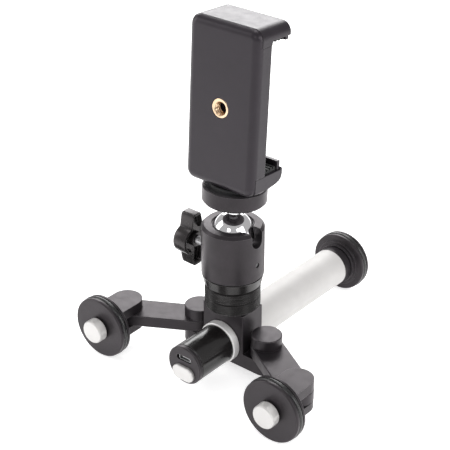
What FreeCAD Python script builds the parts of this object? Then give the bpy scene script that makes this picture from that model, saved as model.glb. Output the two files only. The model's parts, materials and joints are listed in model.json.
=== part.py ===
"""Motorised camera dolly with folding wheel arms, a mini ball head and a spring phone clamp.

Frame: +Z up, +Y along the main tube towards the drive wheel, origin on the floor under the
middle of the whole object.  "Axis" heights and depths in the sheet are measured from the floor
and from the ball head's own vertical axis, which stands head_axis_y from the origin.
"""
import FreeCAD, Part
import math
import os
import Sketcher

doc = FreeCAD.newDocument("camera_dolly")
sheet = doc.addObject("Spreadsheet::Sheet", "dimensions")

DIMENSIONS = [
    ("head_axis_y", -28.9, "ball-head axis from the origin"),
    # wheels
    ("tyre_radius", 18.0, "floor to wheel axis"),
    ("tyre_section", 1.5, "O-ring section radius"),
    ("flange_radius", 17.7, "wheel flange"),
    ("wheel_half", 3.5, "half the wheel width"),
    ("wheel_chamfer", 0.6, "chamfer on the flange"),
    ("groove_half", 1.55, "half the tyre groove"),
    ("groove_radius", 14.95, "floor of the tyre groove"),
    ("face_recess", 0.5, "dish of the front face"),
    ("dish_radius", 8.2, "where the dish levels out"),
    ("bush_radius", 4.0, "outside of the wheel bush"),
    ("axle_radius", 2.5, "axle screw shank"),
    ("running_gap", 0.05, "radial clearance of a running fit"),
    ("thumb_radius", 6.75, "thumb knob of the axle screw"),
    ("thumb_length", 5.7, "length of the thumb knob"),
    ("thumb_start", 3.8, "thumb knob from the wheel's centre plane"),
    # arms and brackets
    ("pivot_x", 24.0, "arm pivot from the tube axis"),
    ("arm_length", 42.0, "arm pivot to bracket swivel"),
    ("arm_half", 8.9, "half the arm width"),
    ("arm_bottom", 14.3, "underside of the arm"),
    ("arm_top", 21.0, "top of the arm"),
    ("arm_bore", 3.55, "arm hole on the pivot bolt"),
    ("pin_radius", 2.0, "bracket swivel pin"),
    ("bracket_half", 8.8, "half the bracket width"),
    ("bracket_bottom", 9.5, "underside of the bracket"),
    ("bracket_top", 26.8, "top of the bracket"),
    ("bracket_reach", 15.0, "swivel axis to the bracket's wheel face"),
    ("web_thickness", 5.6, "bracket web that holds the axle"),
    ("fork_gap", 0.2, "play between arm and fork"),
    ("wheel_gap", 0.8, "bracket face to wheel"),
    ("pivot_cap_radius", 8.4, "round cap of the pivot bolt"),
    ("pivot_cap_top", 27.6, "top of the pivot bolt's cap"),
    ("pivot_shank", 3.5, "shank of the pivot bolt"),
    # centre block
    ("block_half_x", 14.0, "half the block width"),
    ("block_half_y", 8.5, "half the block depth"),
    ("block_bottom", 5.6, "underside of block and ears"),
    ("block_top", 38.1, "top of the block"),
    ("ear_top", 14.0, "top of the ears"),
    ("stud_radius", 3.17, "quarter-inch stud"),
    ("stud_depth", 6.8, "stud in the block"),
    # tube and control cap
    ("tube_radius", 11.2, "main tube outside"),
    ("tube_wall", 1.0, "main tube wall"),
    ("tube_front", -13.2, "front end of the tube"),
    ("tube_back", 92.6, "back end of the tube"),
    ("plug_back", 98.1, "back face of the tube's end plug"),
    ("collar_radius", 12.0, "bright collar in front of the block"),
    ("cap_front", -40.8, "front face of the control cap"),
    ("cap_inner", 9.6, "inside of the control cap"),
    ("cap_plate", 2.4, "rim of the end plate"),
    ("cap_groove", 0.5, "groove behind the end plate"),
    ("cap_spigot", 10.15, "cap spigot in the tube"),
    ("button_half", 7.2, "half the button width"),
    ("button_radius", 4.3, "end radius of the button"),
    ("button_drop", 4.4, "button below the tube axis"),
    ("button_proud", 1.8, "button in front of the end plate"),
    ("button_gap", 0.15, "clearance round the button"),
    ("socket_rise", 4.3, "charging socket above the tube axis"),
    ("board_thickness", 1.2, "circuit board"),
    # drive train
    ("battery_radius", 9.0, "battery cell"),
    ("battery_front", -6.0, "front of the battery"),
    ("battery_length", 65.0, "battery cell length"),
    ("motor_radius", 8.5, "motor can"),
    ("motor_front", 62.0, "front of the motor can"),
    ("motor_back", 79.0, "back of the motor can"),
    ("motor_shaft", 1.0, "motor shaft radius"),
    ("armature_radius", 6.6, "armature"),
    ("case_front", 80.2, "front of the gear case"),
    ("case_back", 91.0, "back of the gear case"),
    ("lay_offset", 5.5, "cluster gear above the motor axis"),
    ("output_radius", 2.0, "output shaft"),
    ("drive_y", 104.1, "centre plane of the drive wheel"),
    ("hub_step", 1.1, "height of the first hub step"),
    # ball head
    ("knurl_radius", 15.3, "knurled rings"),
    ("ring_top", 44.8, "top of the lock ring"),
    ("base_top", 58.4, "top of the pan base"),
    ("housing_bottom", 58.7, "underside of the ball housing"),
    ("housing_top", 87.8, "top of the ball housing"),
    ("housing_radius", 17.05, "ball housing outside"),
    ("spigot_radius", 9.0, "pan spigot"),
    ("ball_height", 82.6, "ball centre"),
    ("ball_radius", 11.4, "chrome ball"),
    ("socket_radius", 11.7, "ball socket"),
    ("stem_radius", 3.0, "ball stem"),
    ("slot_half", 4.2, "half the tilt slot"),
    ("knob_height", 68.8, "clamp knob axis"),
    ("knob_inner", 24.9, "inner face of the clamp knob"),
    ("knob_outer", 34.0, "outer face of the clamp knob"),
    ("screw_height", 67.9, "set screw opposite the clamp knob"),
    ("knob_reach", 15.9, "tip of a knob wing"),
    ("knob_stud", 2.5, "stud of the clamp knob"),
    ("platform_bottom", 100.8, "underside of the platform"),
    ("platform_top", 110.2, "rim of the platform"),
    ("platform_radius", 17.3, "platform"),
    # phone clamp
    ("clamp_half", 22.3, "half the clamp width"),
    ("clamp_front", -15.0, "front face of the clamp"),
    ("clamp_back", -4.5, "back face of the clamp body"),
    ("clamp_bottom", 112.4, "underside of the clamp's front plate"),
    ("base_bottom", 114.8, "underside of the lower jaw"),
    ("clamp_top", 201.0, "top of the clamp"),
    ("plate_thickness", 2.4, "front plate"),
    ("wall_thickness", 2.2, "side walls"),
    ("base_seam", 122.8, "seam above the lower jaw"),
    ("jaw_seam", 192.0, "seam below the upper jaw"),
    ("lower_tip", 10.1, "tip of the lower jaw"),
    ("upper_tip", 10.8, "tip of the upper jaw"),
    ("insert_height", 156.5, "thread insert in the front plate"),
    ("thread_radius", 3.175, "quarter-inch thread"),
    ("lean", 3.5, "degrees that ball and clamp lean back, towards +Y, at rest"),
]


class Size:
    """A length: its value in millimetres and the sheet formula that gives it."""

    def __init__(self, value, formula):
        self.value = float(value)
        self.formula = formula

    def join(self, other, sign, value):
        return Size(value, "(%s %s %s)" % (self.formula, sign, other.formula))

    def __add__(self, other):
        other = size(other)
        return self.join(other, "+", self.value + other.value)

    def __sub__(self, other):
        other = size(other)
        return self.join(other, "-", self.value - other.value)

    def __mul__(self, other):
        other = size(other)
        return self.join(other, "*", self.value * other.value)

    def __radd__(self, other):
        return size(other) + self

    def __rsub__(self, other):
        return size(other) - self

    def __rmul__(self, other):
        return size(other) * self

    def __neg__(self):
        return size(0) - self


def size(value):
    """Any number as a Size; a Size stays as it is."""
    if isinstance(value, Size):
        return value
    return Size(value, "%.6f" % value)


class Sheet:
    """The driving dimensions, each one an attribute."""


D = Sheet()
for row, (alias, value, note) in enumerate(DIMENSIONS, start=1):
    sheet.set("A%d" % row, note)
    sheet.set("B%d" % row, str(value))
    sheet.setAlias("B%d" % row, alias)
    setattr(D, alias, Size(value, "dimensions.%s" % alias))
doc.recompute()

AXIS_Z = D.tyre_radius
ARM_ANGLE = 30.0
SIDES = {"left": -1.0, "right": 1.0}
nodes = []


# ---------------------------------------------------------------- helpers

def bind(item, prop, value):
    """Set a property and tie it to the sheet."""
    value = size(value)
    item.setExpression(prop, value.formula)


def place(item, x, y, z, axis=(0, 0, 1), angle=0.0):
    """Place an object at a point given from the ball-head axis and the floor."""
    point = (size(x), size(y) + D.head_axis_y, size(z))
    rotation = FreeCAD.Rotation(FreeCAD.Vector(*axis), angle)
    item.Placement = FreeCAD.Placement(FreeCAD.Vector(*[p.value for p in point]), rotation)
    for letter, coordinate in zip("xyz", point):
        bind(item, "Placement.Base." + letter, coordinate)
    return item


def node(item, label):
    """Name a finished sub-part; its file takes the same name."""
    item.Label = label
    nodes.append(item)
    return item


def leaning(item, label):
    """Name a sub-part of the ball or the clamp, leaning back with them about the ball's centre."""
    angle = math.radians(D.lean.value)
    away, height = D.head_axis_y.value, D.ball_height.value
    group = doc.addObject("Part::Compound", label + "_set")
    group.Links = [item]
    base = FreeCAD.Vector(0, away * (1 - math.cos(angle)) - height * math.sin(angle),
                          height * (1 - math.cos(angle)) + away * math.sin(angle))
    group.Placement = FreeCAD.Placement(
        base, FreeCAD.Rotation(FreeCAD.Vector(-1, 0, 0), D.lean.value))
    turn = {"sine": "sin(dimensions.lean * 1 deg)", "rest": "(1 - cos(dimensions.lean * 1 deg))"}
    group.setExpression("Placement.Base.y", "dimensions.head_axis_y * {rest} "
                        "- dimensions.ball_height * {sine}".format(**turn))
    group.setExpression("Placement.Base.z", "dimensions.ball_height * {rest} "
                        "+ dimensions.head_axis_y * {sine}".format(**turn))
    group.setExpression("Placement.Rotation.Angle", "dimensions.lean * 1 deg")
    return node(group, label)


def new_body(name):
    return doc.addObject("PartDesign::Body", name)


def new_sketch(body, role, name, offset=0.0):
    """A sketch on one of the body's own origin planes, moved along its normal."""
    plane = [f for f in body.Origin.OriginFeatures if f.Role == role][0]
    sketch = body.newObject("Sketcher::SketchObject", name)
    sketch.AttachmentSupport = [(plane, "")]
    sketch.MapMode = "FlatFace"
    bind(sketch, "AttachmentOffset.Base.z", offset)
    return sketch


def dimension(sketch, kind, geometry, point, value):
    """Fix one coordinate of a sketch point to a sheet formula."""
    value = size(value)
    index = sketch.addConstraint(Sketcher.Constraint(kind, geometry, point, value.value))
    sketch.setExpression("Constraints[%d]" % index, value.formula)


def polygon(sketch, points):
    """A closed outline of straight lines through the given points."""
    points = [(size(x), size(y)) for x, y in points]
    first = sketch.GeometryCount
    count = len(points)
    vectors = [FreeCAD.Vector(x.value, y.value, 0) for x, y in points]
    for i in range(count):
        sketch.addGeometry(Part.LineSegment(vectors[i], vectors[(i + 1) % count]), False)
    for i in range(count):
        after = first + (i + 1) % count
        sketch.addConstraint(Sketcher.Constraint("Coincident", first + i, 2, after, 1))
    for i, (x, y) in enumerate(points):
        dimension(sketch, "DistanceX", first + i, 1, x)
        dimension(sketch, "DistanceY", first + i, 1, y)


def circle(sketch, radius, x=0.0, y=0.0):
    """A circle with its radius and centre tied to the sheet."""
    radius, x, y = size(radius), size(x), size(y)
    centre = FreeCAD.Vector(x.value, y.value, 0)
    normal = FreeCAD.Vector(0, 0, 1)
    index = sketch.addGeometry(Part.Circle(centre, normal, radius.value), False)
    dimension(sketch, "DistanceX", index, 3, x)
    dimension(sketch, "DistanceY", index, 3, y)
    rule = sketch.addConstraint(Sketcher.Constraint("Radius", index, radius.value))
    sketch.setExpression("Constraints[%d]" % rule, radius.formula)


def stadium(sketch, start, end, y, radius):
    """A slot outline along the sketch's X axis, its ends round about start and end."""
    start, end, y, radius = size(start), size(end), size(y), size(radius)
    normal = FreeCAD.Vector(0, 0, 1)
    quarter = math.pi / 2
    left = FreeCAD.Vector(start.value, y.value, 0)
    right = FreeCAD.Vector(end.value, y.value, 0)
    up = FreeCAD.Vector(0, radius.value, 0)
    near = sketch.addGeometry(
        Part.ArcOfCircle(Part.Circle(left, normal, radius.value), quarter, 3 * quarter), False)
    far = sketch.addGeometry(
        Part.ArcOfCircle(Part.Circle(right, normal, radius.value), -quarter, quarter), False)
    low = sketch.addGeometry(Part.LineSegment(left - up, right - up), False)
    high = sketch.addGeometry(Part.LineSegment(right + up, left + up), False)
    for a, end_a, b, end_b in ((near, 2, low, 1), (low, 2, far, 1), (far, 2, high, 1),
                               (high, 2, near, 1)):
        sketch.addConstraint(Sketcher.Constraint("Tangent", a, end_a, b, end_b))
    dimension(sketch, "DistanceX", near, 3, start)
    dimension(sketch, "DistanceY", near, 3, y)
    dimension(sketch, "DistanceX", far, 3, end)
    dimension(sketch, "DistanceY", far, 3, y)
    rule = sketch.addConstraint(Sketcher.Constraint("Radius", near, radius.value))
    sketch.setExpression("Constraints[%d]" % rule, radius.formula)


def pad(body, sketch, length):
    feature = body.newObject("PartDesign::Pad", sketch.Name + "_pad")
    feature.Profile = sketch
    bind(feature, "Length", length)
    return feature


def pocket(body, sketch, length):
    """Cut downwards from the sketch, against its normal."""
    feature = body.newObject("PartDesign::Pocket", sketch.Name + "_cut")
    feature.Profile = sketch
    bind(feature, "Length", length)
    return feature


def turned(name, points):
    """A body turned on a lathe: outline points are (radius, height) on its own Z axis."""
    body = new_body(name)
    sketch = new_sketch(body, "XZ_Plane", name + "_outline")
    polygon(sketch, points)
    feature = body.newObject("PartDesign::Revolution", name + "_turn")
    feature.Profile = sketch
    feature.ReferenceAxis = (sketch, ["V_Axis"])
    feature.Angle = 360
    return body


def ring(name, outer, inner, low, high):
    """A plain turned ring between two heights."""
    return turned(name, [(inner, low), (outer, low), (outer, high), (inner, high)])


def along_tube(item, y, toward_back=True, x=0.0, z=AXIS_Z):
    """Lay a turned part along the tube, its own Z towards the back or the front."""
    return place(item, x, y, z, (1, 0, 0), -90 if toward_back else 90)


def box(name, x, y, z):
    """A block between two values on each axis, from the ball-head axis and the floor."""
    item = doc.addObject("Part::Box", name)
    for prop, (low, high) in zip(("Length", "Width", "Height"), (x, y, z)):
        bind(item, prop, size(high) - low)
    return place(item, x[0], y[0], z[0])


def rod(name, radius, length, x, y, z, axis=(0, 0, 1), angle=0.0):
    """A cylinder from a point along a turned direction."""
    item = doc.addObject("Part::Cylinder", name)
    bind(item, "Radius", radius)
    bind(item, "Height", length)
    return place(item, x, y, z, axis, angle)


def fuse(name, items):
    item = doc.addObject("Part::MultiFuse", name)
    item.Shapes = items
    item.Refine = True
    return item


def cut(name, base, tools):
    item = doc.addObject("Part::Cut", name)
    item.Base = base
    item.Tool = tools[0] if len(tools) == 1 else fuse(name + "_tools", tools)
    item.Refine = True
    return item


def rounded(name, base, radius, wanted):
    """Fillet the edges of a finished solid that a test picks out."""
    doc.recompute()
    chosen = [i for i, edge in enumerate(base.Shape.Edges, start=1) if wanted(edge)]
    item = doc.addObject("Part::Fillet", name)
    item.Base = base
    item.Edges = [(i, radius, radius) for i in chosen]
    return item


def runs_along(edge, axis):
    """True where an edge is a straight line along the axis."""
    if edge.Curve.TypeId != "Part::GeomLine":
        return False
    direction = edge.Vertexes[1].Point - edge.Vertexes[0].Point
    return abs(direction.normalize().dot(FreeCAD.Vector(*axis))) > 0.999


# ---------------------------------------------------------------- main tube and block

def make_tube():
    length = D.tube_back - D.tube_front
    tube = ring("tube", D.tube_radius, D.tube_radius - D.tube_wall, 0, length)
    node(along_tube(tube, D.tube_front), "main_tube")


def make_collar():
    """The bright ring between the control cap and the block."""
    width = -D.block_half_y - D.tube_front
    inner = D.tube_radius + D.running_gap
    edge = D.collar_radius - 0.3
    collar = turned("collar", [(inner, 0), (edge, 0), (D.collar_radius, 0.3),
                               (D.collar_radius, width - 0.3), (edge, width), (inner, width)])
    node(along_tube(collar, D.tube_front), "front_collar")


def make_block():
    """The block clamped round the tube, with two round-ended ears under the arms."""
    ears = new_body("ears")
    outline = new_sketch(ears, "XY_Plane", "ear_outline")
    stadium(outline, -D.pivot_x, D.pivot_x, 0, D.block_half_y)
    pad(ears, outline, D.ear_top - D.block_bottom)
    place(ears, 0, 0, D.block_bottom)
    tower = box("tower", (-D.block_half_x, D.block_half_x), (-D.block_half_y, D.block_half_y),
                (D.block_bottom, D.block_top))
    tower = rounded("soft_tower", tower, 0.6, lambda edge: runs_along(edge, (0, 0, 1)))
    depth = D.block_half_y * 2 + 2
    tools = [
        rod("tube_bore", D.tube_radius + D.running_gap, depth, 0, D.block_half_y + 1, AXIS_Z,
            (1, 0, 0), 90),
        rod("stud_hole", D.thread_radius, D.stud_depth + 1, 0, 0, D.block_top - D.stud_depth),
    ]
    for side, sign in SIDES.items():
        tools.append(rod(side + "_ear_hole", D.pivot_shank, 10, sign * D.pivot_x, 0, 9))
    node(cut("block", fuse("block_whole", [ears, tower]), tools), "centre_block")


def make_control_cap():
    """The black cap: a barrel that plugs into the tube."""
    front = D.cap_front + D.cap_plate + D.cap_groove
    shoulder = D.tube_front - front
    barrel = turned("cap_barrel", [
        (D.cap_inner, 0), (D.tube_radius - 0.3, 0), (D.tube_radius, 0.3),
        (D.tube_radius, shoulder - 0.1), (D.cap_spigot, shoulder - 0.1),
        (D.cap_spigot, shoulder + 6), (D.cap_inner - 0.5, shoulder + 6),
        (D.cap_inner - 0.5, shoulder), (D.cap_inner, shoulder)])
    node(along_tube(barrel, front), "control_cap")


def make_end_plate():
    """The cap's front face, with openings for the button and the charging socket."""
    rim = D.tube_radius
    step = D.cap_plate + D.cap_groove
    plate = turned("end_plate", [
        (0, 0), (rim, 0), (rim, D.cap_plate - 0.6), (rim - 0.6, D.cap_plate),
        (0, D.cap_plate)])
    neck = new_sketch(plate, "XY_Plane", "plate_neck")
    circle(neck, rim - 0.45)
    back = pad(plate, neck, D.cap_groove)
    back.Reversed = True
    spigot = new_sketch(plate, "XY_Plane", "plate_spigot", -D.cap_groove)
    circle(spigot, D.cap_inner - 0.05)
    circle(spigot, D.cap_inner - 1.1)
    tail = pad(plate, spigot, 2.0)
    tail.Reversed = True
    opening = new_sketch(plate, "XY_Plane", "plate_button", D.cap_plate)
    end = D.button_half - D.button_radius
    stadium(opening, -end, end, -D.button_drop, D.button_radius + D.button_gap)
    pocket(plate, opening, step + 3)
    port = new_sketch(plate, "XY_Plane", "plate_port", D.cap_plate)
    stadium(port, -3.5, 3.5, D.socket_rise, 1.65)
    pocket(plate, port, step + 3)
    node(along_tube(plate, D.cap_front + D.cap_plate, False), "end_plate")


def make_button():
    """The silver power button with the stem that presses the switch."""
    button = new_body("button")
    outline = new_sketch(button, "XY_Plane", "button_outline")
    end = D.button_half - D.button_radius
    stadium(outline, -end, end, -D.button_drop, D.button_radius)
    cap = pad(button, outline, D.button_proud + D.cap_plate)
    stem = new_sketch(button, "XY_Plane", "button_stem")
    circle(stem, 1.5, 0, -D.button_drop)
    tail = pad(button, stem, 1.6)
    tail.Reversed = True
    doc.recompute()
    soft = button.newObject("PartDesign::Fillet", "button_edge")
    soft.Base = (tail, edges_at_height(tail, cap.Length.Value))
    soft.Radius = 0.8
    node(along_tube(button, D.cap_front + D.cap_plate, False), "power_button")


def edges_at_height(feature, height):
    """Names of a feature's edges that lie wholly at one height."""
    names = []
    for i, edge in enumerate(feature.Shape.Edges, start=1):
        bounds = edge.BoundBox
        if abs(bounds.ZMin - height) < 1e-3 and abs(bounds.ZMax - height) < 1e-3:
            names.append("Edge%d" % i)
    return names


def make_electronics():
    """The charging socket, and the board with its power switch."""
    front = D.cap_front
    middle = AXIS_Z + D.socket_rise
    shell = box("socket_shell", (-3.8, 3.8), (front + 0.8, front + 6.2),
                (middle - 1.4, middle + 1.4))
    mouth = box("socket_mouth", (-3.45, 3.45), (front + 0.5, front + 5.4),
                (middle - 1.05, middle + 1.05))
    tongue = box("socket_tongue", (-2.6, 2.6), (front + 1.6, front + 5.6),
                 (middle - 0.2, middle + 0.4))
    node(fuse("socket", [cut("socket_case", shell, [mouth]), tongue]), "usb_socket")
    top = middle - 1.4
    stem = AXIS_Z - D.button_drop
    board = box("board", (-7.0, 7.0), (front + 3.2, D.tube_front - 1), (top - D.board_thickness, top))
    riser = box("riser", (-4.0, 4.0), (front + 9.0, front + 10.0), (stem - 3.2, top - 0.2))
    switch = box("switch", (-3.0, 3.0), (front + 5.6, front + 9.2), (stem - 3.0, stem + 3.0))
    plunger = rod("plunger", 1.4, 0.8, 0, front + 5.8, stem, (1, 0, 0), 90)
    node(fuse("electronics", [board, riser, switch, plunger]), "control_board")


# ---------------------------------------------------------------- drive train

def make_battery():
    body = D.battery_length - 1.2
    cell = turned("cell", [(0, 0), (D.battery_radius - 0.6, 0), (D.battery_radius, 0.6),
                           (D.battery_radius, body - 0.6), (D.battery_radius - 0.6, body),
                           (3, body), (3, D.battery_length), (0, D.battery_length)])
    node(along_tube(cell, D.battery_front), "battery")


def make_motor():
    length = D.motor_back - D.motor_front
    gap = D.motor_shaft + D.running_gap
    can = turned("can", [
        (gap, 0), (D.motor_radius, 0), (D.motor_radius, length), (3, length), (3, length + 1),
        (gap, length + 1), (gap, length - 1), (D.motor_radius - 0.9, length - 1),
        (D.motor_radius - 0.9, 1), (gap, 1)])
    node(along_tube(can, D.motor_front), "motor_can")
    armature = turned("armature", [
        (0, -0.5), (D.motor_shaft, -0.5), (D.motor_shaft, 2.5), (D.armature_radius, 2.5),
        (D.armature_radius, length - 2.5), (D.motor_shaft, length - 2.5),
        (D.motor_shaft, length + 6.3), (0, length + 6.3)])
    node(along_tube(armature, D.motor_front), "motor_armature")


def make_gear_case():
    """The cup that locates the motor and carries the cluster gear's pin."""
    length = D.case_back - D.case_front
    outer = D.cap_spigot - 0.05
    cup = turned("case_cup", [(3.1, 0), (outer, 0), (outer, length), (outer - 0.4, length),
                              (outer - 0.4, 1.2), (3.1, 1.2)])
    along_tube(cup, D.case_front)
    pin = rod("lay_pin", 1.0, length - 1.5, 0, D.case_front + 1, AXIS_Z + D.lay_offset,
              (1, 0, 0), -90)
    node(fuse("case", [cup, pin]), "gear_case")


GEAR_MODULE = 0.5


def gear(name, teeth, low, high, bore, turn):
    """A spur gear between two heights on its own Z axis; turn is its first tooth's angle."""
    body = new_body(name)
    tip = GEAR_MODULE * (teeth + 1.6) / 2
    root = GEAR_MODULE * (teeth - 2.4) / 2
    pitch = 360.0 / teeth
    points = []
    for tooth in range(teeth):
        middle = turn + tooth * pitch
        for radius, part in ((root, -0.27), (tip, -0.1), (tip, 0.1), (root, 0.27)):
            angle = math.radians(middle + part * pitch)
            points.append((radius * math.cos(angle), radius * math.sin(angle)))
    outline = new_sketch(body, "XY_Plane", name + "_outline", low)
    polygon(outline, points)
    circle(outline, bore)
    pad(body, outline, size(high) - low)
    return body


SMALL_TEETH = 8
LARGE_TEETH = 14


def make_gears():
    """Motor pinion, cluster gear on its pin, and the output gear.

    The cluster gear stands above the motor axis, so a tooth of each motor-axis gear points
    up at it and a gap of the cluster points down.
    """
    start = D.case_front
    up = 90.0
    gap_down = -90.0 + 180.0 / LARGE_TEETH
    pinion = gear("pinion", SMALL_TEETH, 2.2, 4.8, D.motor_shaft, up)
    node(along_gear(pinion, start, 0), "pinion_gear")
    large = gear("cluster_large", LARGE_TEETH, 2.2, 4.6, D.motor_shaft + D.running_gap, gap_down)
    small = gear("cluster_small", SMALL_TEETH, 4.6, 8.8, D.motor_shaft + D.running_gap,
                 -90.0 + 180.0 / SMALL_TEETH)
    both = [along_gear(item, start, D.lay_offset) for item in (large, small)]
    node(fuse("cluster", both), "cluster_gear")
    output = gear("output", LARGE_TEETH, 5.8, 8.6, D.output_radius, up)
    node(along_gear(output, start, 0), "output_gear")


def along_gear(item, y, rise):
    """Lay a gear along the tube with its sketch's Y axis up."""
    item = place(item, 0, y, AXIS_Z + rise)
    turn = FreeCAD.Rotation(FreeCAD.Vector(-1, 0, 0), FreeCAD.Vector(0, 0, 1),
                            FreeCAD.Vector(0, 1, 0), "ZXY")
    item.Placement = FreeCAD.Placement(item.Placement.Base, turn)
    return item


def make_output():
    """End plug, bearing, shaft, drive wheel, tyre and the screw that holds the wheel."""
    start = D.case_back + 0.2
    inside = D.tube_back - start
    length = D.plug_back - start
    plug = turned("plug", [(5, 0), (D.cap_spigot, 0), (D.cap_spigot, inside),
                           (D.tube_radius, inside), (D.tube_radius, length - 0.4),
                           (D.tube_radius - 0.4, length), (4.2, length),
                           (4.2, length - 0.6), (5, length - 0.6)])
    node(along_tube(plug, start), "tube_end_plug")
    bearing = ring("bearing", 4.98, D.output_radius + D.running_gap, 0.3, length - 0.65)
    node(along_tube(bearing, start), "shaft_bearing")
    shaft_front = D.case_front + 5.4
    shaft = ring("shaft", D.output_radius, 0, 0, D.drive_y + 2.4 - shaft_front)
    node(along_tube(shaft, shaft_front), "output_shaft")
    half = D.wheel_half
    chamfer = D.wheel_chamfer
    bore = D.output_radius + 0.02
    wheel = turned("drive_hub", [
        (bore, -half - 2 * D.hub_step), (12, -half - 2 * D.hub_step), (12, -half - D.hub_step),
        (14, -half - D.hub_step), (14, -half), (D.flange_radius - chamfer, -half),
        (D.flange_radius, -half + chamfer), (D.flange_radius, -D.groove_half),
        (D.groove_radius, -D.groove_half), (D.groove_radius, D.groove_half),
        (D.flange_radius, D.groove_half), (D.flange_radius, half - chamfer),
        (D.flange_radius - chamfer, half), (9, half), (8.4, half - 0.9), (bore, half - 0.9)])
    node(along_tube(wheel, D.drive_y), "drive_wheel")
    node(along_tube(tyre("drive_ring"), D.drive_y), "drive_tyre")
    screw = turned("screw", [(0, half - 0.85), (5, half - 0.85), (5, half - 0.3),
                             (4.6, half), (1.3, half), (1.3, half - 0.5), (0, half - 0.5)])
    node(along_tube(screw, D.drive_y), "drive_wheel_screw")


def tyre(name):
    """An O-ring tyre about its own Z axis."""
    item = doc.addObject("Part::Torus", name)
    bind(item, "Radius1", D.tyre_radius - D.tyre_section)
    bind(item, "Radius2", D.tyre_section)
    return item


# ---------------------------------------------------------------- arms, brackets, front wheels

def arm_end(sign):
    """Where the bracket swivels: the far end of an arm."""
    angle = math.radians(ARM_ANGLE)
    x = sign * (D.pivot_x + D.arm_length * math.cos(angle))
    y = -D.arm_length * math.sin(angle)
    return x, y


def make_arm(side, sign):
    arm = new_body(side + "_arm_bar")
    outline = new_sketch(arm, "XY_Plane", side + "_arm_outline")
    stadium(outline, 0, D.arm_length, 0, D.arm_half)
    circle(outline, D.arm_bore)
    circle(outline, D.pin_radius + D.running_gap, D.arm_length, 0)
    bar = pad(arm, outline, D.arm_top - D.arm_bottom)
    doc.recompute()
    rim = [name for height in (0, bar.Length.Value) for name in edges_at_height(bar, height)
           if bar.Shape.getElement(name).BoundBox.DiagonalLength > 3 * D.arm_bore.value]
    soft = arm.newObject("PartDesign::Chamfer", side + "_arm_edge")
    soft.Base = (bar, rim)
    soft.Size = 0.4
    angle = -ARM_ANGLE if sign > 0 else 180 + ARM_ANGLE
    node(place(arm, sign * D.pivot_x, 0, D.arm_bottom, (0, 0, 1), angle), side + "_arm")


def make_pivot(side, sign):
    """The round-capped bolt that the arm turns on."""
    cap = D.arm_top + 0.05
    foot = 9.1
    bolt = turned(side + "_bolt", [
        (0, foot), (D.pivot_shank - 0.01, foot), (D.pivot_shank - 0.01, cap),
        (D.pivot_cap_radius, cap), (D.pivot_cap_radius, D.pivot_cap_top - 0.4),
        (D.pivot_cap_radius - 0.4, D.pivot_cap_top), (0, D.pivot_cap_top)])
    node(place(bolt, sign * D.pivot_x, 0, 0), side + "_pivot_bolt")


def make_washers():
    """The friction washers between the ears and the arms."""
    pair = []
    for side, sign in SIDES.items():
        washer = ring(side + "_washer", 7.4, D.arm_bore, D.ear_top, D.arm_bottom)
        pair.append(place(washer, sign * D.pivot_x, 0, 0))
    group = doc.addObject("Part::Compound", "washers")
    group.Links = pair
    node(group, "pivot_washers")


def make_bracket(side, sign):
    """The fork at the arm's end: two D-shaped plates joined by the web that holds the axle."""
    x, y = arm_end(sign)
    half = D.bracket_half
    face = y - D.bracket_reach
    web_back = face + D.web_thickness
    shapes = [box(side + "_web", (x - half, x + half), (face, web_back),
                  (D.bracket_bottom, D.bracket_top))]
    levels = {"top": (D.arm_top + D.fork_gap, D.bracket_top),
              "low": (D.bracket_bottom, D.arm_bottom - D.fork_gap)}
    for level, (low, high) in levels.items():
        name = "%s_%s" % (side, level)
        shapes.append(box(name + "_plate", (x - half, x + half), (web_back - 1, y), (low, high)))
        shapes.append(rod(name + "_end", half, high - low, x, y, low))
    tools = [
        rod(side + "_pin_hole", D.pin_radius + 0.01, D.bracket_top - D.bracket_bottom - 0.5, x, y,
            D.bracket_bottom - 1),
        rod(side + "_axle_hole", D.axle_radius + 0.01, 10, x, web_back + 1, AXIS_Z,
            (1, 0, 0), 90),
    ]
    raw = cut(side + "_fork", fuse(side + "_fork_whole", shapes), tools)
    tall = D.bracket_top.value - D.bracket_bottom.value - 0.5
    soft = rounded(side + "_fork_soft", raw, 1.2,
                   lambda edge: runs_along(edge, (0, 0, 1)) and edge.Length > tall)
    node(soft, side + "_bracket")


def make_swivel_pin(side, sign):
    x, y = arm_end(sign)
    pin = ring(side + "_pin", D.pin_radius, 0, D.bracket_bottom, D.bracket_top - 1.6)
    node(place(pin, x, y, 0), side + "_swivel_pin")


def wheel_plane(sign):
    """Centre plane of a front wheel."""
    return arm_end(sign)[1] - D.bracket_reach - D.wheel_gap - D.wheel_half


def make_axle(side, sign):
    """The thumb screw that is the wheel's axle."""
    x, y = arm_end(sign)
    tail = -D.wheel_half - D.wheel_gap - D.web_thickness + 0.1
    start = D.thumb_start
    end = start + D.thumb_length
    axle = turned(side + "_axle", [
        (0, tail), (D.axle_radius, tail), (D.axle_radius, start), (D.thumb_radius - 0.5, start),
        (D.thumb_radius, start + 0.5), (D.thumb_radius, end - 0.6),
        (D.thumb_radius - 0.6, end), (0, end)])
    node(along_tube(axle, wheel_plane(sign), False, x), side + "_axle_screw")


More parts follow.
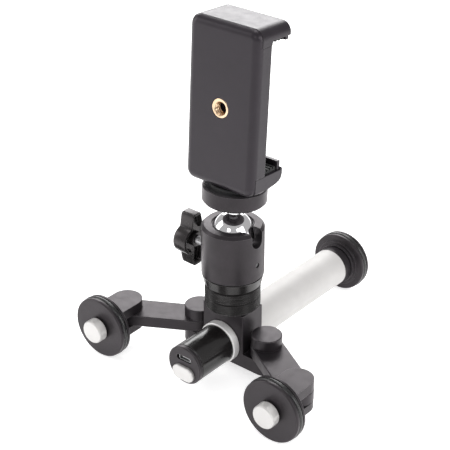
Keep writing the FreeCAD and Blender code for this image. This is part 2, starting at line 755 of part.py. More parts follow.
def make_front_wheel(side, sign):
    x, y = arm_end(sign)
    half = D.wheel_half
    chamfer = D.wheel_chamfer
    level = half - D.face_recess
    bore = D.bush_radius
    hub = turned(side + "_hub", [
        (bore, -half), (D.flange_radius - chamfer, -half), (D.flange_radius, -half + chamfer),
        (D.flange_radius, -D.groove_half), (D.groove_radius, -D.groove_half),
        (D.groove_radius, D.groove_half), (D.flange_radius, D.groove_half),
        (D.flange_radius, half - chamfer), (D.flange_radius - chamfer, half),
        (D.dish_radius, level), (bore, level)])
    plane = wheel_plane(sign)
    node(along_tube(hub, plane, False, x), side + "_wheel")
    node(along_tube(tyre(side + "_ring"), plane, False, x), side + "_tyre")
    bush = ring(side + "_sleeve", D.bush_radius - 0.02, D.axle_radius + D.running_gap,
                -half - D.wheel_gap + 0.1, level)
    node(along_tube(bush, plane, False, x), side + "_wheel_bush")


# ---------------------------------------------------------------- ball head

def make_head_base():
    """Stud, lock ring and the pan base that the housing turns on."""
    stud = ring("stud", D.stud_radius, 0, D.block_top - D.stud_depth + 0.3, 50)
    node(place(stud, 0, 0, 0), "head_stud")
    low = D.block_top + 0.15
    nut = turned("nut", [
        (D.stud_radius + D.running_gap, low), (D.knurl_radius - 0.5, low),
        (D.knurl_radius, low + 0.5), (D.knurl_radius, D.ring_top - 0.4),
        (D.knurl_radius - 0.4, D.ring_top), (D.stud_radius + D.running_gap, D.ring_top)])
    node(place(nut, 0, 0, 0), "lock_ring")
    start = D.ring_top + 0.15
    base = turned("pan", [
        (D.stud_radius + 0.01, start), (D.knurl_radius - 0.4, start),
        (D.knurl_radius, start + 0.4), (D.knurl_radius, 51.2), (14.4, 51.7), (14.4, 52.2),
        (15.7, 52.6), (D.housing_radius - 0.15, D.base_top - 0.4),
        (D.housing_radius - 0.4, D.base_top), (D.spigot_radius, D.base_top),
        (D.spigot_radius, 64), (0, 64), (0, 50.2), (D.stud_radius + 0.01, 50.2)])
    node(place(base, 0, 0, 0), "pan_base")


def make_housing():
    """The ball housing: pan socket below, ball socket above, tilt slot on its +X side."""
    top = D.housing_top
    outer = D.housing_radius
    bore = D.spigot_radius + D.running_gap
    shell = turned("barrel", [
        (bore, D.housing_bottom), (outer - 0.3, D.housing_bottom),
        (outer, D.housing_bottom + 0.3), (outer, top - 1.6), (outer - 1.6, top),
        (9, top), (9, D.ball_height), (D.socket_radius, D.ball_height),
        (D.socket_radius, 66), (0, 66), (0, 64.3), (bore, 64.3)])
    place(shell, 0, 0, 0)
    socket = doc.addObject("Part::Sphere", "socket_ball")
    bind(socket, "Radius", D.socket_radius)
    place(socket, 0, 0, D.ball_height)
    throat = doc.addObject("Part::Cone", "throat")
    bind(throat, "Radius1", 10.1)
    bind(throat, "Radius2", 11.8)
    bind(throat, "Height", 1.7)
    place(throat, 0, 0, top - 1.6)
    reach = outer + 1
    slot = [
        box("slot_box", (8, reach), (-D.slot_half, D.slot_half), (D.ball_height, top + 1)),
        rod("slot_round", D.slot_half, reach - 8, 8, 0, D.ball_height, (0, 1, 0), 90),
    ]
    holes = [
        rod("knob_hole", D.knob_stud + D.running_gap, 8, -outer - 1, 0, D.knob_height,
            (0, 1, 0), 90),
        rod("set_hole", 1.5, 4, outer - 3, 0, D.screw_height, (0, 1, 0), 90),
    ]
    node(cut("housing", shell, [socket, throat] + slot + holes), "ball_housing")


def make_ball_parts():
    """Seat, ball with its stem, and the grub screw in the housing."""
    cup = ring("cup", D.socket_radius - 0.1, 0, 66.1, 76)
    place(cup, 0, 0, 0)
    dish = doc.addObject("Part::Sphere", "dish")
    bind(dish, "Radius", D.ball_radius + 0.3)
    place(dish, 0, 0, D.ball_height)
    node(cut("seat", cup, [dish]), "ball_seat")
    sphere = doc.addObject("Part::Sphere", "sphere")
    bind(sphere, "Radius", D.ball_radius)
    place(sphere, 0, 0, D.ball_height)
    stem = turned("stem", [
        (0, D.ball_height + 5), (D.stem_radius, D.ball_height + 5),
        (D.stem_radius, D.platform_bottom - 3.3), (5, D.platform_bottom), (0, D.platform_bottom)])
    place(stem, 0, 0, 0)
    leaning(fuse("ball", [sphere, stem]), "chrome_ball")
    grub = turned("grub", [(0, 0), (1.45, 0), (1.45, 1.6), (0.8, 1.6), (0.8, 0.8), (0, 0.8)])
    node(place(grub, D.housing_radius - 2.6, 0, D.screw_height, (0, 1, 0), 90), "housing_set_screw")


def make_clamp_knob():
    """The round knob with its two wings and its stud, on the housing's -X side."""
    depth = D.knob_outer - D.knob_inner
    knob = new_body("wings")
    hub = new_sketch(knob, "XY_Plane", "knob_hub")
    stadium(hub, -3, 3, 0, 7.8)
    pad(knob, hub, depth)
    for name, sign in (("upper_wing", 1.0), ("lower_wing", -1.0)):
        wing = new_sketch(knob, "XY_Plane", name)
        reach = D.knob_reach
        polygon(wing, [(5.2 * sign, 5 * sign), (3.3 * sign, (reach - 1.5) * sign),
                       (1.8 * sign, reach * sign), (-1.8 * sign, reach * sign),
                       (-3.3 * sign, (reach - 1.5) * sign), (-5.2 * sign, 5 * sign)])
        pad(knob, wing, depth)
    hollow = new_sketch(knob, "XY_Plane", "knob_hollow", depth - 3.0)
    circle(hollow, 6.4)
    circle(hollow, 4.2)
    pocket(knob, hollow, 3.0)
    place(knob, -D.knob_outer, 0, D.knob_height)
    turn = FreeCAD.Rotation(FreeCAD.Vector(0, 1, 0), FreeCAD.Vector(0, 0, 1),
                            FreeCAD.Vector(1, 0, 0), "ZXY")
    knob.Placement = FreeCAD.Placement(knob.Placement.Base, turn)
    stud_length = D.knob_inner - D.socket_radius - 0.1
    stud = ring("knob_bolt", D.knob_stud, 0, 0, stud_length)
    node(place(stud, -D.knob_inner, 0, D.knob_height, (0, 1, 0), 90), "knob_stud")
    node(knob, "clamp_knob")


def make_platform():
    """Platform disc, its stepped rubber facing and the quarter-inch screw."""
    top = D.platform_top
    edge = D.platform_radius - 1.5
    disc = turned("disc", [
        (0, D.platform_bottom), (D.platform_radius - 1.2, D.platform_bottom),
        (D.platform_radius, D.platform_bottom + 1.4),
        (D.platform_radius, top - 0.6), (D.platform_radius - 0.6, top), (edge, top),
        (edge, top - 0.9), (0, top - 0.9)])
    leaning(place(disc, 0, 0, 0), "platform")
    hole = D.thread_radius + 0.1
    facing = turned("facing", [
        (hole, top - 0.9), (edge - 0.15, top - 0.9), (edge - 0.15, top), (13.6, top + 0.2),
        (13.6, top + 1.4), (13.1, top + 1.8), (hole, top + 1.8)])
    leaning(place(facing, 0, 0, 0), "platform_pad")
    screw = ring("screw_stud", D.thread_radius - 0.03, 0, top - 0.9, top + 9.0)
    leaning(place(screw, 0, 0, 0), "platform_screw")


# ---------------------------------------------------------------- phone clamp

CORNER = 5.5


def inner_half():
    return D.clamp_half - D.wall_thickness


def make_clamp_body():
    """Front plate with rounded corners and the two side walls behind it."""
    whole = box("clamp_block", (-D.clamp_half, D.clamp_half), (D.clamp_front, D.clamp_back),
                (D.clamp_bottom, D.clamp_top))
    whole = rounded("clamp_corners", whole, CORNER, lambda edge: runs_along(edge, (0, 1, 0)))
    doc.recompute()
    front = D.clamp_front.value + D.head_axis_y.value
    whole = rounded("clamp_face", whole, 4.2,
                    lambda edge: abs(edge.BoundBox.YMax - front) < 1e-3)
    plate_back = D.clamp_front + D.plate_thickness + 0.8
    behind = (plate_back, D.clamp_back + 1)
    far = D.clamp_half + 1
    tools = [
        box("clamp_inside", (-inner_half(), inner_half()), behind,
            (D.clamp_bottom - 1, D.clamp_top + 1)),
        box("clamp_over", (-far, far), behind, (D.jaw_seam, D.clamp_top + 1)),
        box("clamp_under", (-far, far), behind, (D.clamp_bottom - 1, D.base_seam)),
        rod("insert_hole", 4.5, 4, 0, D.clamp_front + 3.5, D.insert_height, (1, 0, 0), 90),
        rod("insert_sink", 5.3, 1.8, 0, D.clamp_front + 0.8, D.insert_height, (1, 0, 0), 90),
    ]
    leaning(cut("clamp_shell", whole, tools), "clamp_body")


def make_clamp_cover():
    """The plate that closes the body behind the phone, with two grip ribs."""
    half = inner_half() - 0.1
    plate = box("cover_plate", (-half, half), (D.clamp_back - 1.9, D.clamp_back),
                (D.base_seam + 0.1, D.jaw_seam - 0.2))
    ribs = []
    for name, x in (("near", 11.0), ("far", -11.0)):
        ribs.append(box(name + "_rib", (x - 1.2, x + 1.2), (D.clamp_back - 0.5, D.clamp_back + 0.7),
                        (D.base_seam + 6, D.jaw_seam - 6)))
    leaning(fuse("cover", [plate] + ribs), "clamp_cover")


def make_clamp_base():
    """The fixed lower jaw: a tray rising to a rounded tip, with a lip and a boss below."""
    front = D.clamp_front + D.plate_thickness + 0.9
    tray = new_body("tray")
    outline = new_sketch(tray, "YZ_Plane", "tray_outline", -D.clamp_half)
    tip = D.lower_tip
    low = D.base_bottom
    polygon(outline, [
        (front, low), (tip - 10.5, low + 0.1), (tip - 4.8, low + 1.0), (tip - 2.0, low + 2.0),
        (tip - 0.5, low + 3.5), (tip, low + 5.6), (tip, D.base_seam + 0.4),
        (tip - 0.8, D.base_seam + 1.2), (tip - 1.5, D.base_seam + 1.2),
        (tip - 1.5, D.base_seam - 0.1), (front, D.base_seam - 0.1)])
    pad(tray, outline, D.clamp_half * 2)
    place(tray, 0, 0, 0)
    lip = box("low_lip", (-D.clamp_half + 0.8, D.clamp_half - 0.8), (tip - 3.6, tip - 1.5),
              (D.base_seam - 1, D.base_seam + 4.9))
    boss = rod("boss", 11.5, 5, 0, 0, D.platform_top + 1.9)
    front_gap = box("boss_flat", (-20, 20), (-30, front), (D.platform_top, D.base_seam))
    hole = rod("base_hole", 4.5, 10.2, 0, 0, D.platform_top + 1.8)
    whole = fuse("jaw_low_whole", [tray, lip, boss])
    leaning(cut("base", whole, [hole, front_gap]), "clamp_base")


def make_inserts():
    """Brass quarter-inch thread inserts: one in the front plate, one in the base."""
    front = turned("front_sleeve", [
        (D.thread_radius, 0), (4.48, 0), (4.48, 3.9), (5.25, 3.9), (5.25, 4.5), (4.7, 4.75),
        (D.thread_radius + 0.5, 4.75), (D.thread_radius, 4.25)])
    along_tube(front, D.clamp_front + 4.7, False, 0, D.insert_height)
    leaning(front, "front_insert")
    base = ring("base_sleeve", 4.48, D.thread_radius + 0.02, D.platform_top + 1.95,
                D.platform_top + 11.9)
    leaning(place(base, 0, 0, 0), "base_insert")


def make_top_jaw():
    """The sliding upper jaw and the plate that runs inside the body."""
    front = D.clamp_front + D.plate_thickness + 0.9
    over = box("jaw_over", (-D.clamp_half, D.clamp_half), (front, D.clamp_back + 0.4),
               (D.jaw_seam + 0.1, D.clamp_top))
    beyond = box("jaw_beyond", (-D.clamp_half, D.clamp_half), (D.clamp_back, D.upper_tip),
                 (D.jaw_seam + 2.4, D.clamp_top))
    lip = box("jaw_lip", (-D.clamp_half + 0.8, D.clamp_half - 0.8),
              (D.upper_tip - 3.6, D.upper_tip - 1.4), (D.jaw_seam + 0.2, D.jaw_seam + 3))
    whole = fuse("jaw_whole", [over, beyond])
    top = D.clamp_top.value - 0.01
    soft = rounded("jaw_sides", whole, CORNER,
                   lambda edge: runs_along(edge, (0, 1, 0)) and edge.BoundBox.ZMin > top)
    tip = D.head_axis_y.value + D.upper_tip.value - 0.01
    soft = rounded("jaw_soft", soft, 0.8,
                   lambda edge: edge.BoundBox.YMin > tip and edge.BoundBox.ZMax > top - 4)
    slide = box("jaw_slide", (-15, 15), (D.clamp_front + 5.4, D.clamp_front + 7.8),
                (D.base_seam + 27, D.jaw_seam + 1))
    leaning(fuse("top_jaw_whole", [soft, lip, slide]), "top_jaw")


def ribbed_pad(name, sheet_z, ribs_z, start, end, count):
    """A rubber strip across a jaw, with ribs across the phone's edge."""
    half = D.clamp_half - 1.5
    strips = [box(name + "_sheet", (-half, half), (start, end), sheet_z)]
    step = (end - start) * (1.0 / count)
    for i in range(count):
        y = start + step * (i + 0.25)
        strips.append(box("%s_rib%d" % (name, i), (-half, half), (y, y + step * 0.5), ribs_z))
    return fuse(name + "_whole", strips)


def make_pads():
    """Ribbed rubber pads on the two jaws."""
    start = D.clamp_back + 0.9
    floor = D.base_seam - 0.1
    leaning(ribbed_pad("pad_low", (floor, floor + 1.4), (floor + 1, floor + 2.3), start,
                       D.lower_tip - 3.8, 4), "lower_pad")
    roof = D.jaw_seam + 2.4
    leaning(ribbed_pad("pad_top", (roof - 0.9, roof), (roof - 1.7, roof - 0.5), start,
                       D.upper_tip - 3.8, 4), "upper_pad")


def make_clamp_springs():
    """The pair of extension springs that pull the upper jaw down."""
    pair = []
    low = D.base_seam + 0.4
    for side, sign in SIDES.items():
        coil = ring(side + "_coil", 1.7, 1.1, low, D.base_seam + 27)
        pair.append(place(coil, sign * 10, D.clamp_front + 6.6, 0))
    group = doc.addObject("Part::Compound", "springs")
    group.Links = pair
    leaning(group, "clamp_springs")


# ---------------------------------------------------------------- assembly

make_tube()
make_collar()
make_block()
make_control_cap()
make_end_plate()
make_button()
make_electronics()
make_battery()
make_motor()
make_gear_case()
make_gears()
make_output()
make_washers()
for side, sign in SIDES.items():
    make_arm(side, sign)
    make_pivot(side, sign)
    make_bracket(side, sign)
    make_swivel_pin(side, sign)
    make_axle(side, sign)
    make_front_wheel(side, sign)
make_head_base()
make_housing()
make_ball_parts()
make_clamp_knob()
make_platform()
make_clamp_body()
make_clamp_cover()
make_clamp_base()
make_inserts()
make_top_jaw()
make_pads()
make_clamp_springs()
doc.recompute()

for item in doc.Objects:
    if {"Invalid", "Error"} & set(item.State):
        raise RuntimeError("%s did not compute: %s" % (item.Label, item.State))
os.makedirs("parts", exist_ok=True)
for item in nodes:
    if item.Shape.isNull() or not item.Shape.isValid():
        raise RuntimeError("%s has no valid shape" % item.Label)
    item.Shape.exportStep("parts/%s.step" % item.Label)
print(len(nodes), "nodes")
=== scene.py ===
"""Looks of a motorised camera dolly with a ball head and a phone clamp, built round its CAD."""
import json
import math

import bmesh
import bpy
from mathutils import Matrix, Vector


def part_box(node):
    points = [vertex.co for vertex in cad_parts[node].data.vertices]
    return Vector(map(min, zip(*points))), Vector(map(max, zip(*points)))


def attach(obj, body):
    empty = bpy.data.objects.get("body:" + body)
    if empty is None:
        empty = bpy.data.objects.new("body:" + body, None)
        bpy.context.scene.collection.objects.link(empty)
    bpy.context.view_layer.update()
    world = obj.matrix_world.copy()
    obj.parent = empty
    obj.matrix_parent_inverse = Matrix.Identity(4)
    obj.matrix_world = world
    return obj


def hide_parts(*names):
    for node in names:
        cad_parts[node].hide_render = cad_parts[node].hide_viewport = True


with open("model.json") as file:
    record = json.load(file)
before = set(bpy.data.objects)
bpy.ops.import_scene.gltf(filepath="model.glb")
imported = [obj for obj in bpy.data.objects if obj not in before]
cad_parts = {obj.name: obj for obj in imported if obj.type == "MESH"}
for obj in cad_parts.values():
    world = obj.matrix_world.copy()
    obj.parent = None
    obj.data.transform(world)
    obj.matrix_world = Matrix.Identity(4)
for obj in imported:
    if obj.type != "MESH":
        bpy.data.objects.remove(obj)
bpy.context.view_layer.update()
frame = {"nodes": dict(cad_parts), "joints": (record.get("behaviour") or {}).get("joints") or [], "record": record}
nodes = frame["nodes"]

MM = 0.001
UP = Vector((0, 0, 1))
BACK = Vector((0, 1, 0))
FRONT = Vector((0, -1, 0))
LEFT = Vector((-1, 0, 0))
RIGHT = Vector((1, 0, 0))


def low_high(node):
    """A CAD node's corners as vectors."""
    low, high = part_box(node)
    return Vector(low), Vector(high)


def middle(node):
    """The middle of a CAD node's box."""
    low, high = low_high(node)
    return (low + high) / 2


HEAD = middle("pan_base")


# ---------------------------------------------------------------- materials

COLOUR_DRIFT = 90           # scales of the slow noise under colour and roughness
ROUGHNESS_DRIFT = 220
GRAIN_HEIGHT = 0.0002       # metres
LATHE_PITCH = 0.0005
LATHE_HEIGHT = 0.00008
LATHE_STRENGTH = 0.06
# radius of the edge mask for the painted edge highlight, which also stands partly for edge wear
EDGE_MASK_RADIUS = 0.0005


def link(tree, source, output, target, socket):
    tree.links.new(source.outputs[output], target.inputs[socket])


def add(tree, kind, operation=None, **inputs):
    """A shader node with some of its inputs set; _ in an input's name stands for a space."""
    made = tree.nodes.new("ShaderNode" + kind)
    if operation:
        made.operation = operation
    for name, value in inputs.items():
        made.inputs[name.replace("_", " ")].default_value = value
    return made


def noise(tree, scale, detail):
    """Noise in the object's own metres."""
    made = add(tree, "TexNoise", Scale=scale, Detail=detail)
    link(tree, add(tree, "TexCoord"), "Object", made, "Vector")
    return made


def spread(tree, source, output, low, high, from_low=0.3, from_high=0.7):
    """Map a value's range, as a rule the middle of a noise texture's, to low..high."""
    made = add(tree, "MapRange", From_Min=from_low, From_Max=from_high, To_Min=low, To_Max=high)
    link(tree, source, output, made, "Value")
    return made


def mix(tree, factor, high):
    """A colour mix towards high, by a mapped factor; its A input is left for the caller."""
    made = tree.nodes.new("ShaderNodeMix")
    made.data_type = "RGBA"
    made.inputs["B"].default_value = (*high, 1)
    link(tree, factor, "Result", made, "Factor")
    return made


def bump(tree, source, output, strength, distance):
    """A bump node fed by a height."""
    made = add(tree, "Bump", Strength=strength, Distance=distance)
    link(tree, source, output, made, "Height")
    return made


def bevel(tree, radius):
    """The surface normal as it would be with rounded edges."""
    made = add(tree, "Bevel", Radius=radius)
    made.samples = 6
    return made


def rings(tree, pitch):
    """Lathe rings about the object's own Z axis, as a wave from -1 to 1."""
    flat = add(tree, "VectorMath", "MULTIPLY")
    flat.inputs[1].default_value = (1, 1, 0)
    link(tree, add(tree, "TexCoord"), "Object", flat, "Vector")
    length = add(tree, "VectorMath", "LENGTH")
    link(tree, flat, "Vector", length, "Vector")
    scaled = add(tree, "Math", "MULTIPLY")
    scaled.inputs[1].default_value = 2 * math.pi / pitch
    link(tree, length, "Value", scaled, 0)
    wave = add(tree, "Math", "SINE")
    link(tree, scaled, "Value", wave, 0)
    return wave


def paint_edge_highlight_and_wear(tree, colour, edge_light):
    """Painted edge highlight, partly also edge wear: mix a colour towards the edge colour where a rounded normal
    would differ from the real one.
    """
    agree = add(tree, "VectorMath", "DOT_PRODUCT")
    link(tree, bevel(tree, EDGE_MASK_RADIUS), "Normal", agree, 0)
    link(tree, add(tree, "NewGeometry"), "Normal", agree, 1)
    edge_painted = mix(tree, spread(tree, agree, "Value", 0, 0.7, 0.99, 0.85), edge_light)
    link(tree, colour, "Result", edge_painted, "A")
    return edge_painted


def finish_of(name, dark, light, metallic, rough, grain, edge=0.0003, relief=0.08, turned=False,
              edge_light=None, **fixed):
    """A metal, plastic or rubber finish: colour and roughness drift, and fine relief.

    rough is (low, high); grain is the scale of the fine relief; edge softens hard CAD edges.
    turned adds lathe rings in its place. edge_light is a painted highlight along edges, partly
    also edge wear where a dark coating thins on a corner. fixed sets further inputs of the shader.
    """
    material = bpy.data.materials.new(name)
    material.use_nodes = True
    tree = material.node_tree
    shader = tree.nodes["Principled BSDF"]
    shader.inputs["Metallic"].default_value = metallic
    for socket, value in fixed.items():
        shader.inputs[socket.replace("_", " ")].default_value = value
    colour = mix(tree, spread(tree, noise(tree, COLOUR_DRIFT, 4), "Fac", 0, 1), light)
    colour.inputs["A"].default_value = (*dark, 1)
    roughness = spread(tree, noise(tree, ROUGHNESS_DRIFT, 5), "Fac", *rough)
    link(tree, roughness, "Result", shader, "Roughness")
    surface = bump(tree, noise(tree, grain, 2), "Fac", relief, GRAIN_HEIGHT)
    if turned:
        lathe = bump(tree, rings(tree, LATHE_PITCH), "Value", LATHE_STRENGTH, LATHE_HEIGHT)
        link(tree, lathe, "Normal", surface, "Normal")
    elif edge:
        link(tree, bevel(tree, edge), "Normal", surface, "Normal")
    link(tree, surface, "Normal", shader, "Normal")
    # painted highlight along the edges, partly also edge wear
    if edge_light:
        colour = paint_edge_highlight_and_wear(tree, colour, edge_light)
    link(tree, colour, "Result", shader, "Base Color")
    return material


FINISHES = {
    # black_anodised, and black_turned made from it, carry a painted edge highlight that is partly also edge wear
    "black_anodised": dict(dark=(0.016, 0.0145, 0.016), light=(0.024, 0.021, 0.024), metallic=0.2,
                           rough=(0.30, 0.40), grain=5200, edge_light=(0.16, 0.155, 0.16),
                           Specular_IOR_Level=0.37, Specular_Tint=(1, 0.92, 0.96, 1)),
    "tube_silver": dict(dark=(0.54, 0.53, 0.52), light=(0.58, 0.57, 0.56), metallic=0.15,
                        rough=(0.50, 0.58), grain=5000, relief=0.05, Specular_IOR_Level=0.3),
    "bright_alloy": dict(dark=(0.55, 0.54, 0.53), light=(0.62, 0.61, 0.60), metallic=0.6,
                         rough=(0.34, 0.42), grain=4500, relief=0.05),
    # the collar's alloy: the bright alloy with its colour raised, painted light that makes up for the shade the
    # centre block casts on the collar
    "collar_alloy_painted_light": dict(dark=(0.88, 0.87, 0.86), light=(0.94, 0.93, 0.92), metallic=0.5,
                         rough=(0.42, 0.50), grain=4500, relief=0.05),
    "tyre_rubber": dict(dark=(0.010, 0.010, 0.010), light=(0.016, 0.016, 0.017), metallic=0.0,
                        rough=(0.22, 0.32), grain=2600, relief=0.05),
    "steel": dict(dark=(0.50, 0.50, 0.51), light=(0.62, 0.62, 0.63), metallic=1.0,
                  rough=(0.26, 0.36), grain=3000),
    "chrome": dict(dark=(0.80, 0.80, 0.81), light=(0.84, 0.84, 0.85), metallic=1.0,
                   rough=(0.03, 0.06), grain=900, relief=0.01),
    "brass": dict(dark=(0.66, 0.47, 0.30), light=(0.82, 0.64, 0.46), metallic=1.0,
                  rough=(0.14, 0.24), grain=2500),
    "clamp_plastic": dict(dark=(0.012, 0.010, 0.013), light=(0.015, 0.012, 0.016), metallic=0.0,
                          rough=(0.29, 0.37), grain=3600, relief=0.10, edge=0.0005,
                          Specular_IOR_Level=0.36, Specular_Tint=(1, 0.93, 0.99, 1)),
    "ring_black": dict(dark=(0.018, 0.017, 0.017), light=(0.026, 0.024, 0.024), metallic=0.5,
                       rough=(0.20, 0.28), grain=5200, edge=0, Specular_IOR_Level=0.7),
    "gloss_black": dict(dark=(0.008, 0.007, 0.007), light=(0.012, 0.011, 0.011), metallic=0.0,
                        rough=(0.19, 0.25), grain=3200, relief=0.02),
    "black_plastic": dict(dark=(0.013, 0.012, 0.012), light=(0.019, 0.018, 0.018), metallic=0.0,
                          rough=(0.22, 0.30), grain=3200, relief=0.08, Specular_Tint=(1, 0.93, 0.95, 1)),
    "pad_rubber": dict(dark=(0.012, 0.012, 0.013), light=(0.020, 0.020, 0.021), metallic=0.0,
                       rough=(0.60, 0.72), grain=2500, relief=0.2),
    "nylon": dict(dark=(0.78, 0.77, 0.73), light=(0.86, 0.85, 0.81), metallic=0.0,
                  rough=(0.40, 0.50), grain=2500),
    "board_green": dict(dark=(0.02, 0.11, 0.05), light=(0.03, 0.16, 0.08), metallic=0.0,
                        rough=(0.25, 0.40), grain=2500),
    "cell_wrap": dict(dark=(0.05, 0.13, 0.28), light=(0.07, 0.18, 0.36), metallic=0.0,
                      rough=(0.25, 0.35), grain=1500),
    "motor_can": dict(dark=(0.48, 0.49, 0.51), light=(0.58, 0.59, 0.60), metallic=1.0,
                      rough=(0.28, 0.40), grain=2500),
}
materials = {name: finish_of(name, **values) for name, values in FINISHES.items()}
turned_black = finish_of("black_turned", turned=True, **FINISHES["black_anodised"])
turned_bright = finish_of("bright_turned", turned=True, **FINISHES["bright_alloy"])

for subpart in frame["record"]["subparts"]:
    item = nodes[subpart["node"]]
    for holder in item.material_slots:
        holder.material = materials[subpart["material_slot"]]
# the collar gets the brightened alloy, painted light against the block's shade
for name, finish in (("control_cap", "gloss_black"), ("front_collar", "collar_alloy_painted_light")):
    for holder in nodes[name].material_slots:
        holder.material = materials[finish]


# ---------------------------------------------------------------- turned pieces

def frame_for(axis):
    """A rotation whose Z is the axis and whose Y points up, or back where the axis is upright."""
    z = axis.normalized()
    x = (BACK if abs(z.z) > 0.9 else UP).cross(z).normalized()
    return Matrix((x, z.cross(x), z)).transposed().to_4x4()


def piece(name, form, centre, axis, material, body, replaces, sharp):
    """A mesh piece in its own axes, its Z along axis, riding on a CAD body.

    form is (vertices, faces); edges steeper than sharp degrees stay hard.
    """
    vertices, faces = form
    mesh = bpy.data.meshes.new(name)
    mesh.from_pydata(vertices, [], faces)
    whole = bmesh.new()
    whole.from_mesh(mesh)
    bmesh.ops.recalc_face_normals(whole, faces=whole.faces)
    whole.to_mesh(mesh)
    whole.free()
    mesh.shade_smooth()
    mesh.set_sharp_from_angle(angle=math.radians(sharp))
    mesh.materials.append(material)
    item = bpy.data.objects.new(name, mesh)
    bpy.context.collection.objects.link(item)
    item.matrix_world = Matrix.Translation(centre) @ frame_for(axis)
    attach(item, body)
    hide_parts(replaces)


def revolve(rows, steps):
    """Vertices and faces of a closed turned form.

    rows go round the section: (radius, height) in millimetres, where radius may be a function
    of the angle and height; a row of radius 0 closes to a point.
    """
    vertices = []
    starts = []
    for radius, height in rows:
        starts.append(len(vertices))
        if radius == 0:
            vertices.append((0, 0, height * MM))
            continue
        for step in range(steps):
            angle = 2 * math.pi * step / steps
            r = (radius(angle, height) if callable(radius) else radius) * MM
            vertices.append((r * math.cos(angle), r * math.sin(angle), height * MM))
    faces = []
    count = len(rows)
    for i in range(count):
        j = (i + 1) % count
        here, there = starts[i], starts[j]
        point_here, point_there = rows[i][0] == 0, rows[j][0] == 0
        if point_here and point_there:
            continue
        for step in range(steps):
            after = (step + 1) % steps
            if point_here:
                faces.append((here, there + step, there + after))
            elif point_there:
                faces.append((here + after, here + step, there))
            else:
                faces.append((here + after, here + step, there + step, there + after))
    return vertices, faces


def softened(points, radius, arc=3):
    """A closed section with its corners rounded by a small radius, each in arc steps."""
    rows = []
    count = len(points)
    for i, point in enumerate(points):
        here = Vector(point)
        to_before = Vector(points[i - 1]) - here
        to_after = Vector(points[(i + 1) % count]) - here
        reach = min(radius, to_before.length * 0.45, to_after.length * 0.45)
        start = here + to_before.normalized() * reach
        end = here + to_after.normalized() * reach
        for k in range(arc + 1):
            t = k / arc
            spot = start * (1 - t) ** 2 + here * 2 * t * (1 - t) + end * t ** 2
            rows.append((spot.x, spot.y))
    return rows


def knurl(radius, depth, count, pitch, base):
    """Diamond knurling: small flat-topped pyramids on a cylinder, as a radius function."""
    flat = 0.8

    def at(angle, height):
        around = count * angle / (2 * math.pi)
        along = (height - base) / pitch
        peaks = [1 - abs(2 * ((around + sign * along) % 1) - 1) for sign in (1, -1)]
        return radius - depth + depth / flat * min(flat, *peaks)
    return at


def knurled_band(radius, low, high, count, pitch, depth, step):
    """Rows of a knurled wall from low to high."""
    wall = knurl(radius, depth, count, pitch, low)
    lines = max(2, round((high - low) / step))
    return [(wall, low + (high - low) * i / lines) for i in range(lines + 1)]


def threaded(radius, depth, pitch, low, high):
    """Rows of a screw thread: its crests lie at radius and its roots deeper by depth."""
    rows_per_turn = 8

    def at(angle, height):
        turn = height / pitch - angle / (2 * math.pi)
        return radius - depth * abs(2 * (turn % 1) - 1)
    lines = round((high - low) / pitch * rows_per_turn)
    return [(at, low + (high - low) * i / lines) for i in range(lines + 1)]


# ---------------------------------------------------------------- wheels, in millimetres

TYRE = 18.0             # outer radius of the rubber ring
CORD = 1.5              # radius of the ring's round section
FLANGE = 17.7           # radius of the wheel's two rims
GROOVE = 14.95          # radius of the groove's floor
GROOVE_HALF = 1.55      # half the groove's width
RIM_HALF = 2.9          # where the rims' bevel starts
HALF = 3.5              # half the wheel's width
RIM_BEVEL = 0.6
RIM = [(FLANGE - RIM_BEVEL, -HALF), (FLANGE, -RIM_HALF), (FLANGE, -GROOVE_HALF), (GROOVE, -GROOVE_HALF),
       (GROOVE, GROOVE_HALF), (FLANGE, GROOVE_HALF), (FLANGE, RIM_HALF), (FLANGE - RIM_BEVEL, HALF)]
WHEEL_STEPS = 160
SCREW_TIP = -9.8        # thumb screw: its tip, and its head's two faces
SCREW_LOW, SCREW_HIGH = 3.8, 9.5
SCREW_HEAD = 6.75


def add_wheel(name, points, soft, centre, axis, body, node):
    piece(name, revolve(softened(points, soft), WHEEL_STEPS), centre, axis, turned_black, body,
          node, 38)


def add_tyre(name, centre, axis, body, node):
    section = [(TYRE - CORD + CORD * math.cos(a), CORD * math.sin(a))
               for a in (2 * math.pi * k / 28 for k in range(28))]
    piece(name, revolve(section, WHEEL_STEPS), centre, axis, materials["tyre_rubber"], body,
          node, 180)


def add_front_wheel(side):
    """Slightly coned face, bevelled rim with a painted edge highlight, O-ring groove, and the thumb screw on its
    axle.
    """
    body = side + "_front_wheel"
    centre = middle(side + "_tyre")
    bore, boss, face = 4, 8.2, 3.1
    add_wheel(side + "_wheel_turned", [(bore, -HALF)] + RIM + [(boss, face), (bore, face)],
              0.18, centre, FRONT, body, side + "_wheel")
    add_tyre(side + "_tyre_ring", centre, FRONT, body, side + "_tyre")
    rows = [(0, SCREW_TIP), (2.5, SCREW_TIP), (2.5, SCREW_LOW), (6.1, SCREW_LOW), (6.55, SCREW_LOW + 0.35)]
    rows += knurled_band(SCREW_HEAD, SCREW_LOW + 0.6, SCREW_HIGH - 0.75, 40, 1.05, 0.28, 0.13)
    rows += softened([(6.6, SCREW_HIGH - 0.6), (6.15, SCREW_HIGH), (0.4, SCREW_HIGH)], 0.12)[4:]
    rows += [(0, SCREW_HIGH)]
    piece(side + "_thumb_screw", revolve(rows, 240), centre, FRONT, turned_bright, side + "_bracket",
          side + "_axle_screw", 32)


